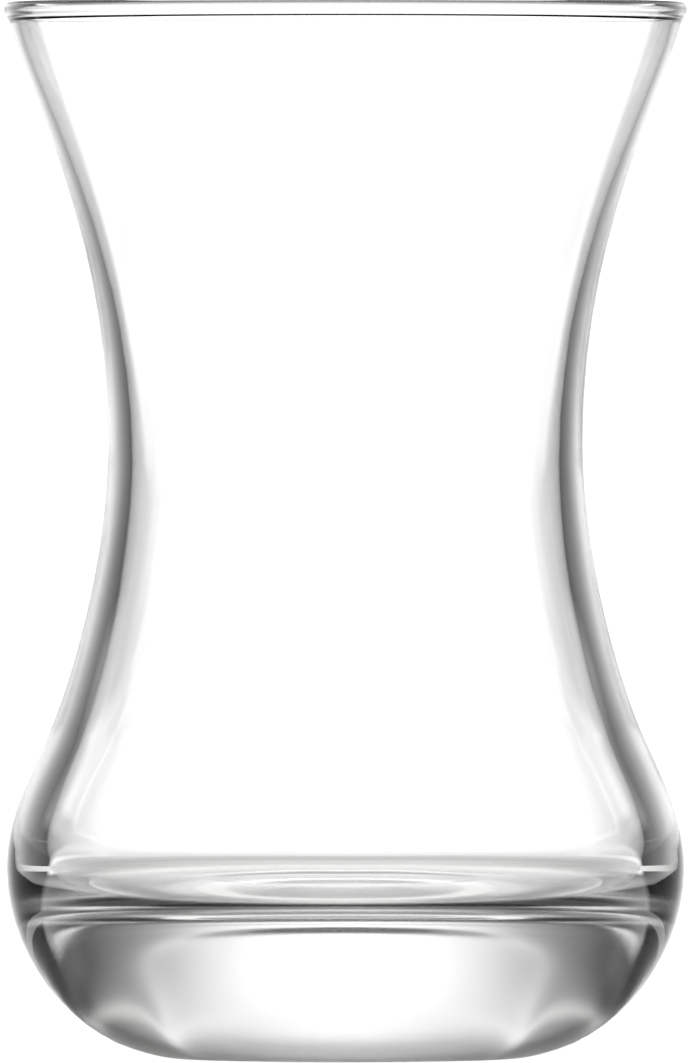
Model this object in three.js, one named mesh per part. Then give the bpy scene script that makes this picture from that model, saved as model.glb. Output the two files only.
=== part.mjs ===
// Clear glass for Turkish tea: one turned piece of glass with a flared mouth, a narrow
// waist, a round belly and a thick solid base. Millimetres, +Z up, origin at the centre
// of the foot, where the glass meets the table.

import * as THREE from "three";

// Overall sizes
const HEIGHT = 90.0;
const TURN_STEPS = 64;

// Rim: a fire-polished bead that stands out a little and runs smoothly into the throat
const RIM_RADIUS = 28.67;
const RIM_HALF_WIDTH = 0.48;
const RIM_HALF_HEIGHT = 0.75;
const RIM_CENTRE_HEIGHT = HEIGHT - RIM_HALF_HEIGHT;
const LIP_REACH_OUT = 0.26;
const LIP_REACH_IN = 0.54;

// Outside of the wall, from under the rim down to the widest part of the belly. A slope
// is millimetres outwards for each millimetre up, and a reach is how far up or down the
// wall keeps to it.
const NECK_RADIUS = 28.61;
const NECK_HEIGHT = 88.0;
const NECK_SLOPE = 0.3;
const NECK_REACH_UP = 0.46;
const NECK_REACH_DOWN = 8.0;
const WAIST_RADIUS = 20.24;
const WAIST_HEIGHT = 52.4;
const WAIST_REACH_UP = 17.0;
const WAIST_REACH_DOWN = 9.1;
const SHOULDER_RADIUS = 25.31;
const SHOULDER_HEIGHT = 27.75;
const SHOULDER_SLOPE = -0.438;
const SHOULDER_REACH_UP = 5.1;
const SHOULDER_REACH_DOWN = 3.54;
const BELLY_RADIUS = 28.9;
const BELLY_HEIGHT = 16.2;
const BELLY_REACH_UP = 4.3;
const BELLY_REACH_DOWN = 6.5;

// Foot: a flat ring round a shallow hollow, and a heel that rises to the belly. A rise is
// millimetres up for each millimetre out.
const HEEL_RADIUS = 18.0;
const HEEL_HEIGHT = 0.82;
const HEEL_RISE = 0.31;
const HEEL_REACH_IN = 2.4;
const HEEL_REACH_OUT = 6.4;
const FOOT_RADIUS = 12.2;
const FOOT_REACH = 2.6;
const FOOT_RING_WIDTH = 2.4;
const HOLLOW_RADIUS = FOOT_RADIUS - FOOT_RING_WIDTH;
const HOLLOW_DEPTH = 1.03;
const HOLLOW_REACH = 4.9;
const HOLLOW_EDGE_RISE = -0.106;
const HOLLOW_EDGE_REACH = 2.45;

// Inside of the wall, from under the rim down to the bulb
const THROAT_RADIUS = 27.85;
const THROAT_HEIGHT = 88.66;
const THROAT_SLOPE = 0.248;
const THROAT_REACH_UP = 0.15;
const THROAT_REACH_DOWN = 8.59;
const INNER_WAIST_RADIUS = 18.209;
const INNER_WAIST_HEIGHT = 50.69;
const INNER_WAIST_REACH_UP = 17.57;
const INNER_WAIST_REACH_DOWN = 6.84;
const INNER_SHOULDER_RADIUS = 22.362;
const INNER_SHOULDER_HEIGHT = 27.194;
const INNER_SHOULDER_SLOPE = -0.361;
const INNER_SHOULDER_REACH_UP = 6.557;
const INNER_SHOULDER_REACH_DOWN = 2.326;
const BULB_RADIUS = 25.563;
const BULB_HEIGHT = 17.555;
const BULB_REACH_UP = 2.971;
const BULB_REACH_DOWN = 6.14;

// Floor of the cup, nearly flat: a shallow gutter along the wall, a bank that leads up from
// it, and a ring-shaped dip round the middle
const BANK_RADIUS = 14.93;
const BANK_HEIGHT = 13.15;
const BANK_RISE = -0.074;
const BANK_REACH_OUT = 6.31;
const BANK_REACH_IN = 4.3;
const DIP_RADIUS = 8.84;
const DIP_HEIGHT = 12.9;
const DIP_REACH_OUT = 3.45;
const DIP_REACH_IN = 2.17;
const FLOOR_HEIGHT = 13.0;
const FLOOR_REACH = 6.12;

// Points along each kind of stretch
const WALL_STEPS = 7;
const BEND_STEPS = 5;
const FLOOR_STEPS = 5;
const HEEL_STEPS = 3;
const SWELL_STEPS = 2;
const LIP_STEPS = 3;
const RIM_STEPS = 8;

// A point of the outline, with the handles that set its tangent
function knot(radius, height, behind, ahead) {
  const at = new THREE.Vector2(radius, height);
  return { at, before: at.clone().add(behind), after: at.clone().add(ahead) };
}

// A knot on a wall. Its handles keep to the slope, up or down by the heights given
function wallKnot(radius, height, slope, behind, ahead) {
  const lean = (reach) => new THREE.Vector2(slope * reach, reach);
  return knot(radius, height, lean(behind), lean(ahead));
}

// A knot on a floor. Its handles keep to the rise, out or in by the distances given
function floorKnot(radius, height, rise, behind, ahead) {
  const run = (reach) => new THREE.Vector2(reach, rise * reach);
  return knot(radius, height, run(behind), run(ahead));
}

// The curve from one knot to the next
function stretch(from, to, steps) {
  return new THREE.CubicBezierCurve(from.at, from.after, to.before, to.at).getPoints(steps);
}

// Joins stretches end to end, dropping the point that two of them share
function join(stretches) {
  return stretches.flatMap((points, index) => (index === 0 ? points : points.slice(1)));
}

const belly = wallKnot(BELLY_RADIUS, BELLY_HEIGHT, 0, -BELLY_REACH_DOWN, BELLY_REACH_UP);
const neck = wallKnot(NECK_RADIUS, NECK_HEIGHT, NECK_SLOPE, -NECK_REACH_DOWN, NECK_REACH_UP);
const throat = wallKnot(
  THROAT_RADIUS, THROAT_HEIGHT, THROAT_SLOPE, THROAT_REACH_UP, -THROAT_REACH_DOWN,
);

// Underside and heel: from the axis out and up to the widest part of the belly
function footOutline() {
  const middle = floorKnot(0, HOLLOW_DEPTH, 0, 0, HOLLOW_REACH);
  const edge = floorKnot(HOLLOW_RADIUS, 0, HOLLOW_EDGE_RISE, -HOLLOW_EDGE_REACH, 0);
  const foot = floorKnot(FOOT_RADIUS, 0, 0, 0, FOOT_REACH);
  const heel = floorKnot(HEEL_RADIUS, HEEL_HEIGHT, HEEL_RISE, -HEEL_REACH_IN, HEEL_REACH_OUT);
  return join([
    stretch(middle, edge, HEEL_STEPS),
    [edge.at, foot.at],
    stretch(foot, heel, HEEL_STEPS),
    stretch(heel, belly, WALL_STEPS),
  ]);
}

// Outside wall: belly, shoulder, waist and flare, up to the neck under the rim
function outerOutline() {
  const shoulder = wallKnot(
    SHOULDER_RADIUS, SHOULDER_HEIGHT, SHOULDER_SLOPE, -SHOULDER_REACH_DOWN, SHOULDER_REACH_UP,
  );
  const waist = wallKnot(WAIST_RADIUS, WAIST_HEIGHT, 0, -WAIST_REACH_DOWN, WAIST_REACH_UP);
  return join([
    stretch(belly, shoulder, BEND_STEPS),
    stretch(shoulder, waist, WALL_STEPS),
    stretch(waist, neck, WALL_STEPS),
  ]);
}

// Rim: out from the neck, over the bead and down its inner side to the throat
function rimOutline() {
  const outside = RIM_RADIUS + RIM_HALF_WIDTH;
  const inside = RIM_RADIUS - RIM_HALF_WIDTH;
  const outerNose = wallKnot(outside, RIM_CENTRE_HEIGHT, 0, -LIP_REACH_OUT, 0);
  const innerNose = wallKnot(inside, RIM_CENTRE_HEIGHT, 0, 0, -LIP_REACH_IN);
  const bead = new THREE.EllipseCurve(
    RIM_RADIUS, RIM_CENTRE_HEIGHT, RIM_HALF_WIDTH, RIM_HALF_HEIGHT, 0, Math.PI,
  );
  return join([
    stretch(neck, outerNose, SWELL_STEPS),
    bead.getPoints(RIM_STEPS),
    stretch(innerNose, throat, LIP_STEPS),
  ]);
}

// Inside wall: throat, waist and bulb, then the floor's bank and dip to the axis
function innerOutline() {
  const waist = wallKnot(
    INNER_WAIST_RADIUS, INNER_WAIST_HEIGHT, 0, INNER_WAIST_REACH_UP, -INNER_WAIST_REACH_DOWN,
  );
  const shoulder = wallKnot(
    INNER_SHOULDER_RADIUS, INNER_SHOULDER_HEIGHT, INNER_SHOULDER_SLOPE,
    INNER_SHOULDER_REACH_UP, -INNER_SHOULDER_REACH_DOWN,
  );
  const bulb = wallKnot(BULB_RADIUS, BULB_HEIGHT, 0, BULB_REACH_UP, -BULB_REACH_DOWN);
  const bank = floorKnot(BANK_RADIUS, BANK_HEIGHT, BANK_RISE, BANK_REACH_OUT, -BANK_REACH_IN);
  const dip = floorKnot(DIP_RADIUS, DIP_HEIGHT, 0, DIP_REACH_OUT, -DIP_REACH_IN);
  const middle = floorKnot(0, FLOOR_HEIGHT, 0, FLOOR_REACH, 0);
  return join([
    stretch(throat, waist, WALL_STEPS),
    stretch(waist, shoulder, WALL_STEPS),
    stretch(shoulder, bulb, BEND_STEPS),
    stretch(bulb, bank, WALL_STEPS),
    stretch(bank, dip, FLOOR_STEPS),
    stretch(dip, middle, FLOOR_STEPS),
  ]);
}

function teaGlass() {
  const outline = join([footOutline(), outerOutline(), rimOutline(), innerOutline()]);
  const geometry = new THREE.LatheGeometry(outline, TURN_STEPS);
  const material = new THREE.MeshStandardMaterial({
    color: 0xeef2f2,
    roughness: 0.05,
    metalness: 0.0,
    transparent: true,
    opacity: 0.35,
  });
  const glass = new THREE.Mesh(geometry, material);
  glass.name = "tea_glass";
  // The lathe turns its outline about Y, so the glass is stood up along Z
  glass.rotation.x = Math.PI / 2;
  return glass;
}

const model = new THREE.Group();
model.add(teaGlass());

export default model;
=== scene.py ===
"""A clear, empty glass for Turkish tea, dressed for its photograph.

The glass is one turned piece of soda-lime glass: a flared mouth with a fire-polished rim,
a narrow waist, a round belly and a thick base. It stands on a small round light table,
with soft light that is bright behind the glass and dark to its sides. Metres, +Z up.
"""

import logging
import math
from dataclasses import dataclass, field
from enum import Enum
from typing import Any

import bmesh
import bpy
from mathutils import Matrix, Vector


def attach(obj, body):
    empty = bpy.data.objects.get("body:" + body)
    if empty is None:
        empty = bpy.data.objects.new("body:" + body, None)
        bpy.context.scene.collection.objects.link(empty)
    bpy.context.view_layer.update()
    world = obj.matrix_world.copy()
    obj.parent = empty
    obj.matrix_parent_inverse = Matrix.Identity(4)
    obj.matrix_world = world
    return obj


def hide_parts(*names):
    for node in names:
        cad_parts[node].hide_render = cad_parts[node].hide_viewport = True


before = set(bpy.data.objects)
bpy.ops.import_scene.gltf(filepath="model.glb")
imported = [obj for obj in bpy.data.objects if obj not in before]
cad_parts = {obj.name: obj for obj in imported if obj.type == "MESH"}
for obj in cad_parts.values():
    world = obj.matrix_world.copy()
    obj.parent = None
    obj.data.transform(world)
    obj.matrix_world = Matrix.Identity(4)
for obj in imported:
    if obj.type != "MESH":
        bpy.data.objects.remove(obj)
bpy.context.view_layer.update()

log = logging.getLogger("tea glass")

MM = 0.001
DEGREE = math.radians(1.0)
FULL_TURN = 2.0 * math.pi
MERGE_DISTANCE = 1e-7
SHARPEST_SMOOTH_EDGE = 40.0 * DEGREE
SURROUND_BRIGHTNESS = 1.1

# Where a Mix node that mixes colours has its two colours and its result
MIX_FIRST_COLOUR = 6
MIX_SECOND_COLOUR = 7
MIX_RESULT = 2


def linear(hex_colour: str) -> tuple[float, float, float, float]:
    """Turns an sRGB hex colour into the linear colour that a shader reads.

    Args:
        hex_colour: the colour as "#RRGGBB".

    Returns:
        Red, green, blue and an alpha of one.
    """
    parts = [int(hex_colour[start:start + 2], 16) / 255.0 for start in (1, 3, 5)]
    # The sRGB curve: a straight toe near black, and a power above it
    red, green, blue = [
        part / 12.92 if part <= 0.04045 else ((part + 0.055) / 1.055) ** 2.4
        for part in parts
    ]
    return red, green, blue, 1.0


def add_node(
    tree: bpy.types.NodeTree,
    kind: str,
    settings: dict[str, Any] | None = None,
    sockets: dict[str | int, Any] | None = None,
) -> bpy.types.Node:
    """Adds a node, sets its properties, and fills or links its input sockets.

    Args:
        tree: the node tree that gets the node.
        kind: the node's type name, such as "ShaderNodeBump".
        settings: the node's own properties by name.
        sockets: its inputs by name or number; an output socket given here is linked.

    Returns:
        The new node.
    """
    node = tree.nodes.new(kind)
    for name, value in (settings or {}).items():
        setattr(node, name, value)
    for name, value in (sockets or {}).items():
        if isinstance(value, bpy.types.NodeSocket):
            tree.links.new(value, node.inputs[name])
        else:
            node.inputs[name].default_value = value
    return node


def new_material(name: str) -> tuple[bpy.types.Material, bpy.types.NodeTree]:
    """Makes a material whose node tree holds nothing yet.

    Args:
        name: the finish's plain name.

    Returns:
        The material and its empty node tree.
    """
    material = bpy.data.materials.new(name)
    material.use_nodes = True
    material.node_tree.nodes.clear()
    return material, material.node_tree


@dataclass(frozen=True)
class LightStop:
    """How bright a light is at one place.

    Args:
        at: the place, an angle in degrees or a distance in millimetres.
        radiance: the brightness there, where one shows as plain white.
    """

    at: float
    radiance: float


def brightness_between(
    tree: bpy.types.NodeTree,
    place: bpy.types.NodeSocket,
    stops: tuple[LightStop, ...],
    unit: float,
) -> bpy.types.NodeSocket:
    """Reads a brightness off a light's stops, in even steps from each to the next.

    Args:
        tree: the light's node tree.
        place: the angle or the distance.
        stops: the stops in their order.
        unit: what one unit of a stop's place is in the units of the socket.

    Returns:
        The brightness.
    """
    first, last = stops[0].at, stops[-1].at
    brightest = max(stop.radiance for stop in stops)
    share = add_node(
        tree,
        "ShaderNodeMapRange",
        sockets={"Value": place, "From Min": first * unit, "From Max": last * unit},
    )
    ramp = add_node(tree, "ShaderNodeValToRGB", sockets={"Fac": share.outputs["Result"]})
    elements = ramp.color_ramp.elements
    for stop in stops[1:-1]:
        elements.new((stop.at - first) / (last - first))
    for element, stop in zip(elements, stops):
        level = stop.radiance / brightest
        element.color = (level, level, level, 1.0)
    scaled = add_node(
        tree,
        "ShaderNodeMath",
        settings={"operation": "MULTIPLY"},
        sockets={0: ramp.outputs["Color"], 1: brightest},
    )
    return scaled.outputs["Value"]


def deselect_all() -> None:
    """Leaves object mode with nothing selected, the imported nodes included."""
    if bpy.context.object is not None and bpy.context.object.mode != "OBJECT":
        bpy.ops.object.mode_set(mode="OBJECT")
    bpy.ops.object.select_all(action="DESELECT")


def name_active(name: str) -> bpy.types.Object:
    """Names the active object and its data.

    Args:
        name: the piece's name.

    Returns:
        The object.
    """
    piece = bpy.context.object
    piece.name = name
    piece.data.name = name
    return piece


class GlassZone(Enum):
    """The two faces of the wall: blowing leaves the bore less even than the outside."""

    BORE = "bore"
    OUTSIDE = "outside"


@dataclass(frozen=True)
class Knot:
    """A point of the turned outline, in millimetres from the axis and from the table.

    The outline runs from the underside's centre out and up the outside, over the rim, and
    down the bore to the middle of the floor.

    Args:
        radius: distance from the axis.
        height: height above the table.
        behind: the handle towards the knot before it, as radius and height.
        ahead: the handle towards the knot after it, as radius and height.
    """

    radius: float
    height: float
    behind: tuple[float, float] = (0.0, 0.0)
    ahead: tuple[float, float] = (0.0, 0.0)


@dataclass(frozen=True)
class SodaLimeGlass:
    """Soda-lime glass, pressed and blown, then fire polished: hard, bright and colourless.

    To the eye it is clear, with dark edges where it bends the light and a little
    unevenness from the mould. The press leaves the floor and the underside a little less
    polished, so lines seen through them are soft. Rings of fine rub marks run round the
    belly, where glasses touch when they stand together.
    """

    name: str = "soda-lime glass, fire polished"
    body_hex: str = "#FDFDFD"
    depth_hex: str = "#F3F6F5"
    depth_per_metre: float = 4.0
    ior: float = 1.52
    polish: float = 0.0
    rubbed: float = 0.06
    pressed: float = 0.16
    underside_fades_mm: tuple[float, float] = (18.0, 22.0)
    floor_fades_mm: tuple[float, float] = (26.0, 27.4)
    floor_begins_mm: tuple[float, float] = (10.0, 11.0)
    floor_ends_mm: tuple[float, float] = (14.0, 15.5)
    striae_mm: float = 9.0
    striae_depth_mm: float = 0.02
    striae_detail: float = 1.0
    striae_crispness: float = 0.4
    rub_length_mm: float = 5.0
    rub_width_mm: float = 0.35
    rub_band_mm: tuple[float, float] = (12.0, 18.5)
    rub_detail: float = 2.0
    rub_threshold: tuple[float, float] = (0.62, 0.76)

    def material(self) -> bpy.types.Material:
        """Builds the glass: the light it passes, its striae, its texture and its marks.

        Returns:
            The finish.
        """
        material, tree = new_material(self.name)
        place = add_node(tree, "ShaderNodeTexCoord")
        striae = self._striae(tree, place.outputs["Object"])
        roughness = add_node(
            tree,
            "ShaderNodeMath",
            settings={"operation": "ADD"},
            sockets={
                0: self._rub_marks(tree, place.outputs["Object"]),
                1: self._pressed_base(tree, place.outputs["Object"]),
            },
        )
        shader = add_node(
            tree,
            "ShaderNodeBsdfPrincipled",
            sockets={
                "Base Color": linear(self.body_hex),
                "Roughness": roughness.outputs["Value"],
                "IOR": self.ior,
                "Transmission Weight": 1.0,
                "Normal": striae,
            },
        )
        depth = add_node(
            tree,
            "ShaderNodeVolumeAbsorption",
            sockets={
                "Color": linear(self.depth_hex),
                "Density": self.depth_per_metre,
            },
        )
        add_node(
            tree,
            "ShaderNodeOutputMaterial",
            sockets={"Surface": shader.outputs["BSDF"], "Volume": depth.outputs["Volume"]},
        )
        return material

    def _striae(
        self, tree: bpy.types.NodeTree, place: bpy.types.NodeSocket
    ) -> bpy.types.NodeSocket:
        """Makes the broad, shallow unevenness that the mould leaves in the glass.

        Args:
            tree: the material's node tree.
            place: the Object coordinates.

        Returns:
            The bumped normal.
        """
        noise = add_node(
            tree,
            "ShaderNodeTexNoise",
            sockets={
                "Vector": place,
                "Scale": 1.0 / (self.striae_mm * MM),
                "Detail": self.striae_detail,
                "Roughness": self.striae_crispness,
            },
        )
        bump = add_node(
            tree,
            "ShaderNodeBump",
            sockets={
                "Distance": self.striae_depth_mm * MM,
                "Height": noise.outputs["Fac"],
            },
        )
        return bump.outputs["Normal"]

    def _pressed_base(
        self, tree: bpy.types.NodeTree, place: bpy.types.NodeSocket
    ) -> bpy.types.NodeSocket:
        """Makes the fine texture that the press leaves on the floor and the underside.

        Args:
            tree: the material's node tree.
            place: the Object coordinates.

        Returns:
            The roughness that it adds, which fades out towards the walls.
        """
        parts = add_node(tree, "ShaderNodeSeparateXYZ", sockets={"Vector": place})
        level = add_node(
            tree,
            "ShaderNodeCombineXYZ",
            sockets={"X": parts.outputs["X"], "Y": parts.outputs["Y"]},
        )
        from_axis = add_node(
            tree,
            "ShaderNodeVectorMath",
            settings={"operation": "LENGTH"},
            sockets={0: level.outputs["Vector"]},
        )
        radius, height = from_axis.outputs["Value"], parts.outputs["Z"]
        underside, floor, below_floor, below_walls = [
            add_node(
                tree,
                "ShaderNodeMapRange",
                settings={"interpolation_type": "SMOOTHSTEP"},
                sockets={
                    "Value": value,
                    "From Min": full * MM,
                    "From Max": gone * MM,
                    "To Min": 1.0,
                    "To Max": 0.0,
                },
            ).outputs["Result"]
            for value, (full, gone) in (
                (radius, self.underside_fades_mm),
                (radius, self.floor_fades_mm),
                (height, self.floor_begins_mm),
                (height, self.floor_ends_mm),
            )
        ]
        reach = add_node(
            tree,
            "ShaderNodeMix",
            sockets={"Factor": below_floor, "A": floor, "B": underside},
        )
        both = add_node(
            tree,
            "ShaderNodeMath",
            settings={"operation": "MULTIPLY"},
            sockets={0: reach.outputs["Result"], 1: below_walls},
        )
        roughness = add_node(
            tree,
            "ShaderNodeMath",
            settings={"operation": "MULTIPLY"},
            sockets={0: both.outputs["Value"], 1: self.pressed},
        )
        return roughness.outputs["Value"]

    def _rub_marks(
        self, tree: bpy.types.NodeTree, place: bpy.types.NodeSocket
    ) -> bpy.types.NodeSocket:
        """Makes the fine level scratches round the belly, and clean polish elsewhere.

        Args:
            tree: the material's node tree.
            place: the Object coordinates.

        Returns:
            The roughness.
        """
        stretched = add_node(
            tree,
            "ShaderNodeMapping",
            sockets={
                "Vector": place,
                "Scale": (
                    1.0 / (self.rub_length_mm * MM),
                    1.0 / (self.rub_length_mm * MM),
                    1.0 / (self.rub_width_mm * MM),
                ),
            },
        )
        streaks = add_node(
            tree,
            "ShaderNodeTexNoise",
            sockets={
                "Vector": stretched.outputs["Vector"],
                "Scale": 1.0,
                "Detail": self.rub_detail,
            },
        )
        faint, clear = self.rub_threshold
        fine = add_node(
            tree,
            "ShaderNodeMapRange",
            sockets={"Value": streaks.outputs["Fac"], "From Min": faint, "From Max": clear},
        )
        parts = add_node(tree, "ShaderNodeSeparateXYZ", sockets={"Vector": place})
        low, high = [edge * MM for edge in self.rub_band_mm]
        away = add_node(
            tree,
            "ShaderNodeMath",
            settings={"operation": "SUBTRACT"},
            sockets={0: parts.outputs["Z"], 1: (low + high) / 2.0},
        )
        distance = add_node(
            tree,
            "ShaderNodeMath",
            settings={"operation": "ABSOLUTE"},
            sockets={0: away.outputs["Value"]},
        )
        band = add_node(
            tree,
            "ShaderNodeMapRange",
            settings={"interpolation_type": "SMOOTHSTEP"},
            sockets={
                "Value": distance.outputs["Value"],
                "From Min": 0.0,
                "From Max": (high - low) / 2.0,
                "To Min": 1.0,
                "To Max": 0.0,
            },
        )
        rubbed = add_node(
            tree,
            "ShaderNodeMath",
            settings={"operation": "MULTIPLY"},
            sockets={0: fine.outputs["Result"], 1: band.outputs["Result"]},
        )
        roughness = add_node(
            tree,
            "ShaderNodeMapRange",
            sockets={
                "Value": rubbed.outputs["Value"],
                "To Min": self.polish,
                "To Max": self.rubbed,
            },
        )
        return roughness.outputs["Result"]


@dataclass(frozen=True)
class OpalAcrylic:
    """Opal acrylic sheet under a louvre film, lit from below: a plain milky white to the eye.

    Through the glass it is white as well where it is seen steeply. Where it is seen at a
    slant the louvres are shut, and the sheet shows a glow painted by distance from the foot:
    painted shade round the foot as the glass's shadow, a little painted light under its
    middle, and further out the tent in its place. So the base of the glass is light from
    above, and has a clear base's dark edges from the side.
    """

    name: str = "opal acrylic, satin"
    pale_hex: str = "#FBFBFA"
    cloudy_hex: str = "#F4F4F2"
    plain_glow: float = 1.12
    # Painted shade: the glow by millimetres from the foot, dark round it as a painted shadow of
    # the glass and lighter under its middle
    shade: tuple[LightStop, ...] = (
        LightStop(0.0, 0.6),
        LightStop(10.0, 0.4),
        LightStop(14.0, 0.12),
        LightStop(25.0, 0.0),
        LightStop(45.0, 0.0),
    )
    shade_fades_mm: tuple[float, float] = (33.0, 45.0)
    louvre_open_degrees: float = 42.0
    louvre_shut_degrees: float = 24.0
    roughness: float = 0.35
    cloud_mm: float = 40.0
    cloud_detail: float = 2.0

    def material(self) -> bpy.types.Material:
        """Builds the acrylic: cloudy white, glow, louvres and painted shade round the foot.

        Returns:
            The finish.
        """
        material, tree = new_material(self.name)
        place = add_node(tree, "ShaderNodeTexCoord")
        cloud = add_node(
            tree,
            "ShaderNodeTexNoise",
            sockets={
                "Vector": place.outputs["Object"],
                "Scale": 1.0 / (self.cloud_mm * MM),
                "Detail": self.cloud_detail,
            },
        )
        white = add_node(
            tree,
            "ShaderNodeMix",
            settings={"data_type": "RGBA"},
            sockets={
                "Factor": cloud.outputs["Fac"],
                MIX_FIRST_COLOUR: linear(self.cloudy_hex),
                MIX_SECOND_COLOUR: linear(self.pale_hex),
            },
        )
        from_foot = add_node(
            tree,
            "ShaderNodeVectorMath",
            settings={"operation": "LENGTH"},
            sockets={0: place.outputs["Object"]},
        )
        # Seen at a slant through the glass, the sheet glows with the painted shade round the foot
        painted_shade_glow = add_node(
            tree,
            "ShaderNodeBsdfPrincipled",
            sockets={
                "Base Color": white.outputs[MIX_RESULT],
                "Roughness": self.roughness,
                "Emission Color": linear(self.pale_hex),
                "Emission Strength": brightness_between(
                    tree, from_foot.outputs["Value"], self.shade, MM
                ),
            },
        )
        # Past the painted shade the sheet turns clear, and the tent shows through it
        fade_from, fade_to = self.shade_fades_mm
        past_shade = add_node(
            tree,
            "ShaderNodeMapRange",
            sockets={
                "Value": from_foot.outputs["Value"],
                "From Min": fade_from * MM,
                "From Max": fade_to * MM,
            },
        )
        open_air = add_node(tree, "ShaderNodeBsdfTransparent")
        through_glass = add_node(
            tree,
            "ShaderNodeMixShader",
            sockets={
                0: past_shade.outputs["Result"],
                1: painted_shade_glow.outputs["BSDF"],
                2: open_air.outputs["BSDF"],
            },
        )
        plain = add_node(
            tree,
            "ShaderNodeEmission",
            sockets={"Color": white.outputs[MIX_RESULT], "Strength": self.plain_glow},
        )
        # At a blend of one half, Facing is one minus the sine of the angle to the table
        slant = add_node(tree, "ShaderNodeLayerWeight", sockets={"Blend": 0.5})
        from_above = add_node(
            tree,
            "ShaderNodeMapRange",
            settings={"interpolation_type": "SMOOTHSTEP"},
            sockets={
                "Value": slant.outputs["Facing"],
                "From Min": 1.0 - math.sin(self.louvre_open_degrees * DEGREE),
                "From Max": 1.0 - math.sin(self.louvre_shut_degrees * DEGREE),
                "To Min": 1.0,
                "To Max": 0.0,
            },
        )
        seen = add_node(tree, "ShaderNodeLightPath")
        as_plain = add_node(
            tree,
            "ShaderNodeMath",
            settings={"operation": "MAXIMUM"},
            sockets={0: seen.outputs["Is Camera Ray"], 1: from_above.outputs["Result"]},
        )
        face = add_node(
            tree,
            "ShaderNodeMixShader",
            sockets={
                0: as_plain.outputs["Value"],
                1: through_glass.outputs["Shader"],
                2: plain.outputs["Emission"],
            },
        )
        add_node(
            tree,
            "ShaderNodeOutputMaterial",
            sockets={"Surface": face.outputs["Shader"]},
        )
        return material


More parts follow.
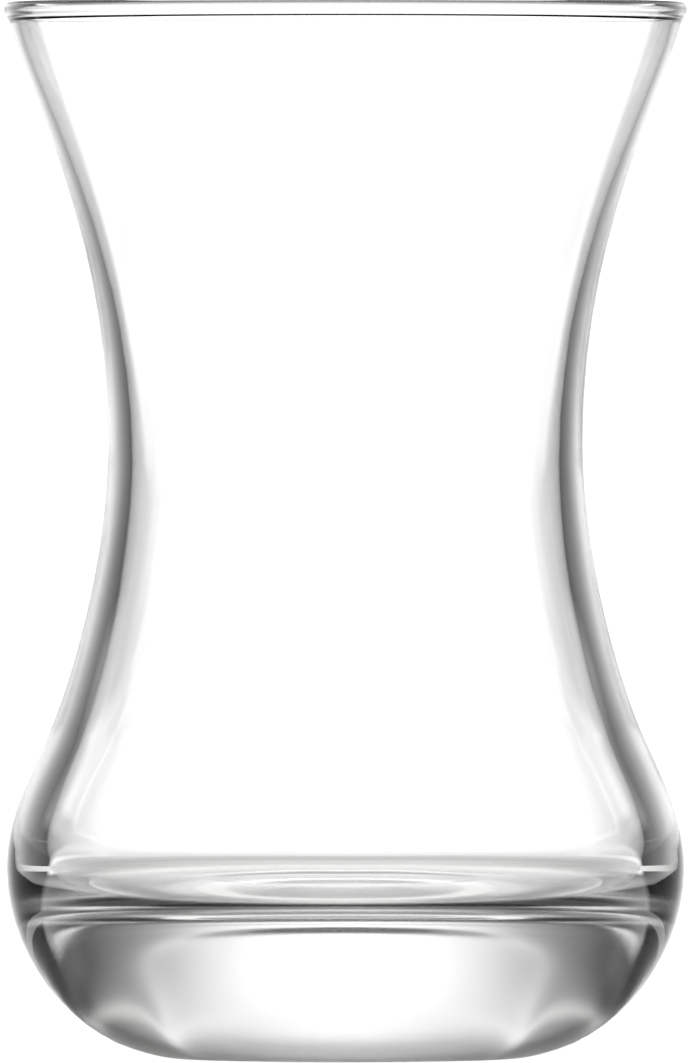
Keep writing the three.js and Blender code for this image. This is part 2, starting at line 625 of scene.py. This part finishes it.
@dataclass
class TeaGlass:
    """The glass: its turned outline, its thin wall and its thick base, in millimetres.

    A slope is how far a wall leans outwards for each millimetre up, or how far a floor
    rises for each millimetre outwards. A reach is how far a knot's handle holds the
    outline to that slope.
    """

    name: str = "tea_glass_turned"
    node: str = "tea_glass"
    height: float = 90.0

    rim_radius: float = 28.67
    rim_half_width: float = 0.48
    rim_half_height: float = 0.75
    lip_reach_out: float = 0.26
    lip_reach_in: float = 0.54

    neck_radius: float = 28.61
    neck_height: float = 88.0
    neck_slope: float = 0.3
    neck_reach_up: float = 0.46
    neck_reach_down: float = 8.0
    waist_radius: float = 20.24
    waist_height: float = 52.4
    waist_reach_up: float = 17.0
    waist_reach_down: float = 9.1
    shoulder_radius: float = 25.31
    shoulder_height: float = 27.75
    shoulder_slope: float = 0.438
    shoulder_reach_up: float = 5.1
    shoulder_reach_down: float = 3.54
    belly_radius: float = 28.9
    belly_height: float = 16.2
    belly_reach_up: float = 4.3
    belly_reach_down: float = 6.5

    heel_radius: float = 18.0
    heel_height: float = 0.82
    heel_slope: float = 0.31
    heel_reach_in: float = 2.4
    heel_reach_out: float = 6.4
    foot_radius: float = 12.2
    foot_reach: float = 2.6
    foot_ring_width: float = 2.4
    hollow_depth: float = 1.03
    hollow_reach: float = 4.9
    hollow_edge_slope: float = -0.106
    hollow_edge_reach: float = 2.45

    throat_radius: float = 27.85
    throat_height: float = 88.66
    throat_slope: float = 0.248
    throat_reach_up: float = 0.15
    throat_reach_down: float = 8.59
    inner_waist_radius: float = 18.209
    inner_waist_height: float = 50.69
    inner_waist_reach_up: float = 17.57
    inner_waist_reach_down: float = 6.84
    inner_shoulder_radius: float = 22.362
    inner_shoulder_height: float = 27.194
    inner_shoulder_slope: float = 0.361
    inner_shoulder_reach_up: float = 6.557
    inner_shoulder_reach_down: float = 2.326
    bulb_radius: float = 25.563
    bulb_height: float = 17.555
    bulb_reach_up: float = 2.971
    bulb_reach_down: float = 6.14
    bank_radius: float = 14.93
    bank_height: float = 13.15
    bank_slope: float = -0.074
    bank_reach_out: float = 6.31
    bank_reach_in: float = 4.3
    dip_radius: float = 8.84
    dip_height: float = 12.9
    dip_reach_out: float = 3.45
    dip_reach_in: float = 2.17
    floor_height: float = 13.0
    floor_reach: float = 6.12

    points_per_stretch: int = 13
    turn_steps: int = 288
    bore_unevenness_mm: float = 0.03
    outside_unevenness_mm: float = 0.006
    unevenness_size_mm: float = 16.0
    unevenness_detail: int = 1
    unevenness_fade_mm: float = 8.0
    floor_margin_mm: float = 1.0
    floor_upright_share: float = 0.3
    finish: SodaLimeGlass = field(default_factory=SodaLimeGlass)

    def knots(self) -> list[Knot]:
        """Lists the outline's knots, from the underside's centre to the floor's."""
        outside = [*self._foot_knots(), *self._outer_knots()]
        return [*outside, *self._rim_knots(), *self._bore_knots()]

    def _foot_knots(self) -> list[Knot]:
        """Lists the underside's hollow, its resting ring and the heel.

        Returns:
            The knots in the outline's order.
        """
        edge_radius = self.foot_radius - self.foot_ring_width
        return [
            self._sloped(0.0, self.hollow_depth, 0.0, 0.0, self.hollow_reach),
            self._sloped(edge_radius, 0.0, self.hollow_edge_slope, -self.hollow_edge_reach, 0.0),
            self._sloped(self.foot_radius, 0.0, 0.0, 0.0, self.foot_reach),
            self._sloped(
                self.heel_radius,
                self.heel_height,
                self.heel_slope,
                -self.heel_reach_in,
                self.heel_reach_out,
            ),
        ]

    def _outer_knots(self) -> list[Knot]:
        """Lists the belly, the shoulder, the waist and the neck of the outside.

        Returns:
            The knots in the outline's order.
        """
        return [
            self._leaning(
                self.belly_radius,
                self.belly_height,
                0.0,
                -self.belly_reach_down,
                self.belly_reach_up,
            ),
            self._leaning(
                self.shoulder_radius,
                self.shoulder_height,
                -self.shoulder_slope,
                -self.shoulder_reach_down,
                self.shoulder_reach_up,
            ),
            self._leaning(
                self.waist_radius,
                self.waist_height,
                0.0,
                -self.waist_reach_down,
                self.waist_reach_up,
            ),
            self._leaning(
                self.neck_radius,
                self.neck_height,
                self.neck_slope,
                -self.neck_reach_down,
                self.neck_reach_up,
            ),
        ]

    def _rim_knots(self) -> list[Knot]:
        """Lists the bead of the rim: its outer nose, its top and its inner nose.

        Returns:
            The knots in the outline's order.
        """
        # The share of its radius that a handle needs to draw a quarter of a circle
        round_share = 4.0 * (math.sqrt(2.0) - 1.0) / 3.0
        across = self.rim_half_width * round_share
        upright = self.rim_half_height * round_share
        middle = self.height - self.rim_half_height
        outer_nose = self.rim_radius + self.rim_half_width
        inner_nose = self.rim_radius - self.rim_half_width
        return [
            self._leaning(outer_nose, middle, 0.0, -self.lip_reach_out, upright),
            self._sloped(self.rim_radius, self.height, 0.0, across, -across),
            self._leaning(inner_nose, middle, 0.0, upright, -self.lip_reach_in),
        ]

    def _bore_knots(self) -> list[Knot]:
        """Lists the bore's throat, waist, shoulder and bulb, then the floor's bank and dip.

        Returns:
            The knots in the outline's order.
        """
        return [
            self._leaning(
                self.throat_radius,
                self.throat_height,
                self.throat_slope,
                self.throat_reach_up,
                -self.throat_reach_down,
            ),
            self._leaning(
                self.inner_waist_radius,
                self.inner_waist_height,
                0.0,
                self.inner_waist_reach_up,
                -self.inner_waist_reach_down,
            ),
            self._leaning(
                self.inner_shoulder_radius,
                self.inner_shoulder_height,
                -self.inner_shoulder_slope,
                self.inner_shoulder_reach_up,
                -self.inner_shoulder_reach_down,
            ),
            self._leaning(
                self.bulb_radius, self.bulb_height, 0.0, self.bulb_reach_up, -self.bulb_reach_down
            ),
            self._sloped(
                self.bank_radius,
                self.bank_height,
                self.bank_slope,
                self.bank_reach_out,
                -self.bank_reach_in,
            ),
            self._sloped(
                self.dip_radius, self.dip_height, 0.0, self.dip_reach_out, -self.dip_reach_in
            ),
            self._sloped(0.0, self.floor_height, 0.0, self.floor_reach, 0.0),
        ]

    @staticmethod
    def _leaning(radius: float, height: float, slope: float, behind: float, ahead: float) -> Knot:
        """Makes a knot on a wall, whose handles are given by the height they reach.

        Args:
            radius: the knot's distance from the axis.
            height: the knot's height.
            slope: how far the wall leans outwards for each millimetre upwards.
            behind: height that the handle behind reaches, negative where it goes down.
            ahead: height that the handle ahead reaches.

        Returns:
            The knot.
        """
        return Knot(radius, height, (slope * behind, behind), (slope * ahead, ahead))

    @staticmethod
    def _sloped(radius: float, height: float, slope: float, behind: float, ahead: float) -> Knot:
        """Makes a knot on a floor, whose handles are given by how far out they reach.

        Args:
            radius: the knot's distance from the axis.
            height: the knot's height.
            slope: how far the surface rises for each millimetre outwards.
            behind: distance out that the handle behind reaches, negative where it goes in.
            ahead: distance out that the handle ahead reaches.

        Returns:
            The knot.
        """
        return Knot(radius, height, (behind, slope * behind), (ahead, slope * ahead))

    def build(self) -> bpy.types.Object:
        """Models the glass, gives it its finish, and has it stand for the CAD node.

        Returns:
            The finished glass.
        """
        glass = self._draw_outline()
        self._turn(glass)
        self._mark_zones(glass)
        self._make_uneven(glass, GlassZone.BORE, self.bore_unevenness_mm)
        self._make_uneven(glass, GlassZone.OUTSIDE, self.outside_unevenness_mm)
        glass.data.materials.append(self.finish.material())
        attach(glass, "root")
        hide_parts(self.node)
        return glass

    def _draw_outline(self) -> bpy.types.Object:
        """Draws the outline as one curve through its knots, and makes it a chain of edges.

        Returns:
            The chain of edges.
        """
        deselect_all()
        bpy.ops.curve.primitive_bezier_curve_add(location=(0.0, 0.0, 0.0))
        outline = name_active(self.name)
        knots = self.knots()
        spline = outline.data.splines[0]
        spline.bezier_points.add(len(knots) - len(spline.bezier_points))
        for point, knot in zip(spline.bezier_points, knots):
            point.handle_left_type = "FREE"
            point.handle_right_type = "FREE"
            point.co = self._in_space(knot.radius, knot.height)
            point.handle_left = self._in_space(
                knot.radius + knot.behind[0], knot.height + knot.behind[1]
            )
            point.handle_right = self._in_space(
                knot.radius + knot.ahead[0], knot.height + knot.ahead[1]
            )
        outline.data.resolution_u = self.points_per_stretch
        spline.resolution_u = self.points_per_stretch
        bpy.ops.object.convert(target="MESH")
        return bpy.context.object

    @staticmethod
    def _in_space(radius: float, height: float) -> Vector:
        """Places a point of the outline in the plane of the axis, in metres."""
        return Vector((radius * MM, 0.0, height * MM))

    def _turn(self, glass: bpy.types.Object) -> None:
        """Spins the outline round the axis into a closed body with its faces outwards.

        Args:
            glass: the outline as a chain of edges.
        """
        deselect_all()
        glass.select_set(True)
        bpy.context.view_layer.objects.active = glass
        bpy.ops.object.mode_set(mode="EDIT")
        bpy.ops.mesh.select_all(action="SELECT")
        bpy.ops.mesh.spin(
            steps=self.turn_steps,
            angle=FULL_TURN,
            center=(0.0, 0.0, 0.0),
            axis=(0.0, 0.0, 1.0),
        )
        bpy.ops.mesh.select_all(action="SELECT")
        bpy.ops.mesh.remove_doubles(threshold=MERGE_DISTANCE)
        bpy.ops.mesh.select_all(action="SELECT")
        bpy.ops.mesh.normals_make_consistent(inside=False)
        bpy.ops.object.mode_set(mode="OBJECT")
        bpy.ops.object.shade_smooth_by_angle(angle=SHARPEST_SMOOTH_EDGE)

    def _mark_zones(self, glass: bpy.types.Object) -> None:
        """Gathers the wall's two faces, each fading out towards the rim and the foot.

        Args:
            glass: the turned glass.
        """
        zones = {zone: glass.vertex_groups.new(name=zone.value) for zone in GlassZone}
        fade = self.unevenness_fade_mm * MM
        top = self.throat_height * MM
        lowest_bore = (min(self.bank_height, self.floor_height) - self.floor_margin_mm) * MM
        lowest_outside = self.heel_height * MM
        for vertex in glass.data.vertices:
            height = vertex.co.z
            inwards = vertex.normal.x * vertex.co.x + vertex.normal.y * vertex.co.y < 0.0
            upright = vertex.normal.z > self.floor_upright_share
            floor = upright and height < self.bulb_height * MM
            share = min(1.0, (top - height) / fade)
            if (inwards or floor) and height > lowest_bore:
                zone = GlassZone.BORE
            else:
                zone = GlassZone.OUTSIDE
                share = min(share, (height - lowest_outside) / fade)
            if share > 0.0:
                zones[zone].add([vertex.index], share, "REPLACE")

    def _make_uneven(self, glass: bpy.types.Object, zone: GlassZone, depth_mm: float) -> None:
        """Presses a broad, very shallow unevenness into one face of the wall.

        Args:
            glass: the turned glass with its zones marked.
            zone: the face.
            depth_mm: how far the face swells and sinks, from lowest to highest.
        """
        clouds = bpy.data.textures.new(f"unevenness of the {zone.value}", "CLOUDS")
        clouds.noise_scale = self.unevenness_size_mm * MM
        clouds.noise_depth = self.unevenness_detail
        press = glass.modifiers.new("unevenness", "DISPLACE")
        press.texture = clouds
        press.texture_coords = "LOCAL"
        press.mid_level = 0.5
        press.strength = depth_mm * MM
        press.vertex_group = zone.value
        bpy.ops.object.modifier_apply(modifier=press.name)


@dataclass
class LightTable:
    """The small round table of lit acrylic that the glass stands on."""

    radius_mm: float = 80.0
    thickness_mm: float = 4.0
    edge_mm: float = 1.0
    edge_steps: int = 3
    sides: int = 128
    finish: OpalAcrylic = field(default_factory=OpalAcrylic)

    def build(self) -> bpy.types.Object:
        """Models the table's top with its softened edge, its face at height zero.

        Returns:
            The table.
        """
        deselect_all()
        bpy.ops.mesh.primitive_cylinder_add(
            vertices=self.sides,
            radius=self.radius_mm * MM,
            depth=self.thickness_mm * MM,
            location=(0.0, 0.0, -self.thickness_mm * MM / 2.0),
        )
        table = name_active("light_table")
        bpy.ops.object.transform_apply(location=True, rotation=True, scale=True)
        bpy.ops.object.mode_set(mode="EDIT")
        bpy.ops.mesh.select_all(action="DESELECT")
        shape = bmesh.from_edit_mesh(table.data)
        for edge in shape.edges:
            rise = edge.verts[1].co.z - edge.verts[0].co.z
            edge.select = abs(rise) < MERGE_DISTANCE
        bmesh.update_edit_mesh(table.data)
        bpy.ops.mesh.bevel(offset=self.edge_mm * MM, segments=self.edge_steps)
        bpy.ops.object.mode_set(mode="OBJECT")
        bpy.ops.object.shade_smooth_by_angle(angle=SHARPEST_SMOOTH_EDGE)
        table.data.materials.append(self.finish.material())
        return table


@dataclass(frozen=True)
class SoftBoxes:
    """A pair of soft boxes, one on each side of straight ahead.

    Args:
        across: the brightness by degrees to the side, at the height of the horizon.
        share_by_height: the share of it that is left by degrees above the horizon.
        lean: degrees that the boxes stand further out for each degree up.
    """

    across: tuple[LightStop, ...]
    share_by_height: tuple[LightStop, ...]
    lean: float = 0.0


@dataclass
class LightTent:
    """The soft light round the glass: a bright field behind it between two pairs of boxes.

    The field fades out towards the sides, and dark gaps part it from the soft boxes to the
    left and right, a low pair that leans outwards and a high pair. The tent is hung far off
    and turns with the camera, so that the field stays behind the glass from every side, as
    when a glass is turned on its table.

    Args:
        radius_m: how far off the tent hangs.
        turn_steps: the tent's sides all round.
        rings: its rows of faces from top to bottom.
        screen: the field's brightness by degrees from straight ahead.
        low_boxes: the soft boxes from below the horizon to just above it.
        high_boxes: the soft boxes above them.
    """

    radius_m: float = 60.0
    turn_steps: int = 64
    rings: int = 32
    screen: tuple[LightStop, ...] = (
        LightStop(0.0, 1.6),
        LightStop(6.0, 1.5),
        LightStop(9.0, 1.3),
        LightStop(12.0, 1.15),
        LightStop(15.0, 1.0),
        LightStop(18.0, 0.84),
        LightStop(22.0, 0.56),
        LightStop(26.0, 0.38),
        LightStop(30.0, 0.27),
        LightStop(34.0, 0.2),
        LightStop(40.0, 0.12),
        LightStop(50.0, 0.05),
        LightStop(70.0, 0.09),
    )
    low_boxes: SoftBoxes = SoftBoxes(
        across=(
            LightStop(0.0, 0.0),
            LightStop(57.0, 0.0),
            LightStop(61.0, 1.5),
            LightStop(76.0, 1.1),
            LightStop(90.0, 0.3),
            LightStop(105.0, 0.0),
        ),
        share_by_height=(
            LightStop(-20.0, 0.0),
            LightStop(-16.0, 1.0),
            LightStop(-4.0, 1.0),
            LightStop(2.0, 0.1),
            LightStop(5.0, 0.0),
        ),
        lean=1.2,
    )
    high_boxes: SoftBoxes = SoftBoxes(
        across=(
            LightStop(0.0, 0.0),
            LightStop(43.0, 0.0),
            LightStop(48.0, 1.4),
            LightStop(56.0, 1.4),
            LightStop(62.0, 0.0),
        ),
        share_by_height=(
            LightStop(0.0, 0.0),
            LightStop(4.0, 0.06),
            LightStop(10.0, 0.06),
            LightStop(13.0, 1.0),
            LightStop(22.0, 1.0),
            LightStop(28.0, 0.0),
        ),
    )

    def build(self, camera: bpy.types.Object) -> bpy.types.Object:
        """Hangs the tent round the camera, with its bright middle straight ahead.

        Args:
            camera: the camera that the tent turns with.

        Returns:
            The tent.
        """
        deselect_all()
        bpy.ops.mesh.primitive_uv_sphere_add(
            segments=self.turn_steps, ring_count=self.rings, radius=self.radius_m
        )
        tent = name_active("light_tent")
        bpy.ops.object.shade_smooth()
        tent.data.materials.append(self._cloth())
        tent.parent = camera
        tent.matrix_parent_inverse = Matrix.Identity(4)
        return tent

    def _cloth(self) -> bpy.types.Material:
        """Makes the tent's lit cloth, by the direction from its own middle.

        Returns:
            The finish.
        """
        material, tree = new_material("white diffusing cloth, lit from outside")
        place = add_node(tree, "ShaderNodeTexCoord")
        outwards = add_node(
            tree,
            "ShaderNodeVectorMath",
            settings={"operation": "NORMALIZE"},
            sockets={0: place.outputs["Object"]},
        )
        parts = add_node(
            tree, "ShaderNodeSeparateXYZ", sockets={"Vector": outwards.outputs["Vector"]}
        )
        ahead = add_node(
            tree,
            "ShaderNodeMath",
            settings={"operation": "MULTIPLY"},
            sockets={0: parts.outputs["Z"], 1: -1.0},
        )
        from_middle = add_node(
            tree,
            "ShaderNodeMath",
            settings={"operation": "ARCCOSINE"},
            sockets={0: ahead.outputs["Value"]},
        )
        to_the_side = add_node(
            tree,
            "ShaderNodeMath",
            settings={"operation": "ABSOLUTE"},
            sockets={0: parts.outputs["X"]},
        )
        sideways = add_node(
            tree,
            "ShaderNodeMath",
            settings={"operation": "ARCTAN2"},
            sockets={0: to_the_side.outputs["Value"], 1: ahead.outputs["Value"]},
        )
        upwards = add_node(
            tree,
            "ShaderNodeMath",
            settings={"operation": "ARCSINE"},
            sockets={0: parts.outputs["Y"]},
        )
        level = brightness_between(tree, from_middle.outputs["Value"], self.screen, DEGREE)
        for boxes in (self.low_boxes, self.high_boxes):
            upright = add_node(
                tree,
                "ShaderNodeMath",
                settings={"operation": "MULTIPLY_ADD"},
                sockets={
                    0: upwards.outputs["Value"],
                    1: -boxes.lean,
                    2: sideways.outputs["Value"],
                },
            )
            lit = add_node(
                tree,
                "ShaderNodeMath",
                settings={"operation": "MULTIPLY_ADD"},
                sockets={
                    0: brightness_between(tree, upright.outputs["Value"], boxes.across, DEGREE),
                    1: brightness_between(
                        tree, upwards.outputs["Value"], boxes.share_by_height, DEGREE
                    ),
                    2: level,
                },
            )
            level = lit.outputs["Value"]
        light = add_node(
            tree,
            "ShaderNodeEmission",
            sockets={"Color": linear("#FFFFFF"), "Strength": level},
        )
        add_node(
            tree,
            "ShaderNodeOutputMaterial",
            sockets={"Surface": light.outputs["Emission"]},
        )
        # The tent stands on every side, so rays find it without being aimed at it
        material.cycles.emission_sampling = "NONE"
        return material


@dataclass
class PhotoCamera:
    """The long lens that looks almost level at the glass from the front."""

    lens_mm: float = 1080.0
    sensor_mm: float = 36.0
    height_mm: float = 60.0
    aim_height_mm: float = 44.9
    frame_height_mm: float = 90.5
    nearest_m: float = 0.1
    farthest_m: float = 200.0

    def build(self) -> bpy.types.Object:
        """Sets the camera far enough back for the glass to fill the photograph's frame.

        Returns:
            The camera.
        """
        # The frame stands upright, so the sensor's long side runs up it
        distance = self.lens_mm / self.sensor_mm * self.frame_height_mm * MM
        place = Vector((0.0, -distance, self.height_mm * MM))
        aim = Vector((0.0, 0.0, self.aim_height_mm * MM))
        deselect_all()
        bpy.ops.object.camera_add(
            location=place,
            rotation=(aim - place).to_track_quat("-Z", "Y").to_euler(),
        )
        camera = name_active("photo_camera")
        camera.data.lens = self.lens_mm
        camera.data.sensor_width = self.sensor_mm
        camera.data.clip_start = self.nearest_m
        camera.data.clip_end = self.farthest_m
        bpy.context.scene.camera = camera
        return camera


def set_white_surround() -> None:
    """Makes what lies beyond the tent plain white, and has colours shown as they are lit."""
    scene = bpy.context.scene
    world = bpy.data.worlds.new("white surround")
    world.use_nodes = True
    world.node_tree.nodes.clear()
    white = add_node(
        world.node_tree,
        "ShaderNodeBackground",
        sockets={"Color": linear("#FFFFFF"), "Strength": SURROUND_BRIGHTNESS},
    )
    add_node(
        world.node_tree,
        "ShaderNodeOutputWorld",
        sockets={"Surface": white.outputs["Background"]},
    )
    scene.world = world
    scene.view_settings.view_transform = "Standard"
    scene.view_settings.look = "None"


def main() -> None:
    """Builds the camera, the light, the table and the glass, in that order."""
    logging.basicConfig(level=logging.INFO, format="%(name)s: %(message)s")
    set_white_surround()
    camera = PhotoCamera().build()
    tent = LightTent().build(camera)
    table = LightTable().build()
    for piece in (camera, tent, table):
        log.info("set up %s", piece.name)
    glass = TeaGlass().build()
    log.info("turned %s, %d faces", glass.name, len(glass.data.polygons))


if __name__ == "__main__":
    main()
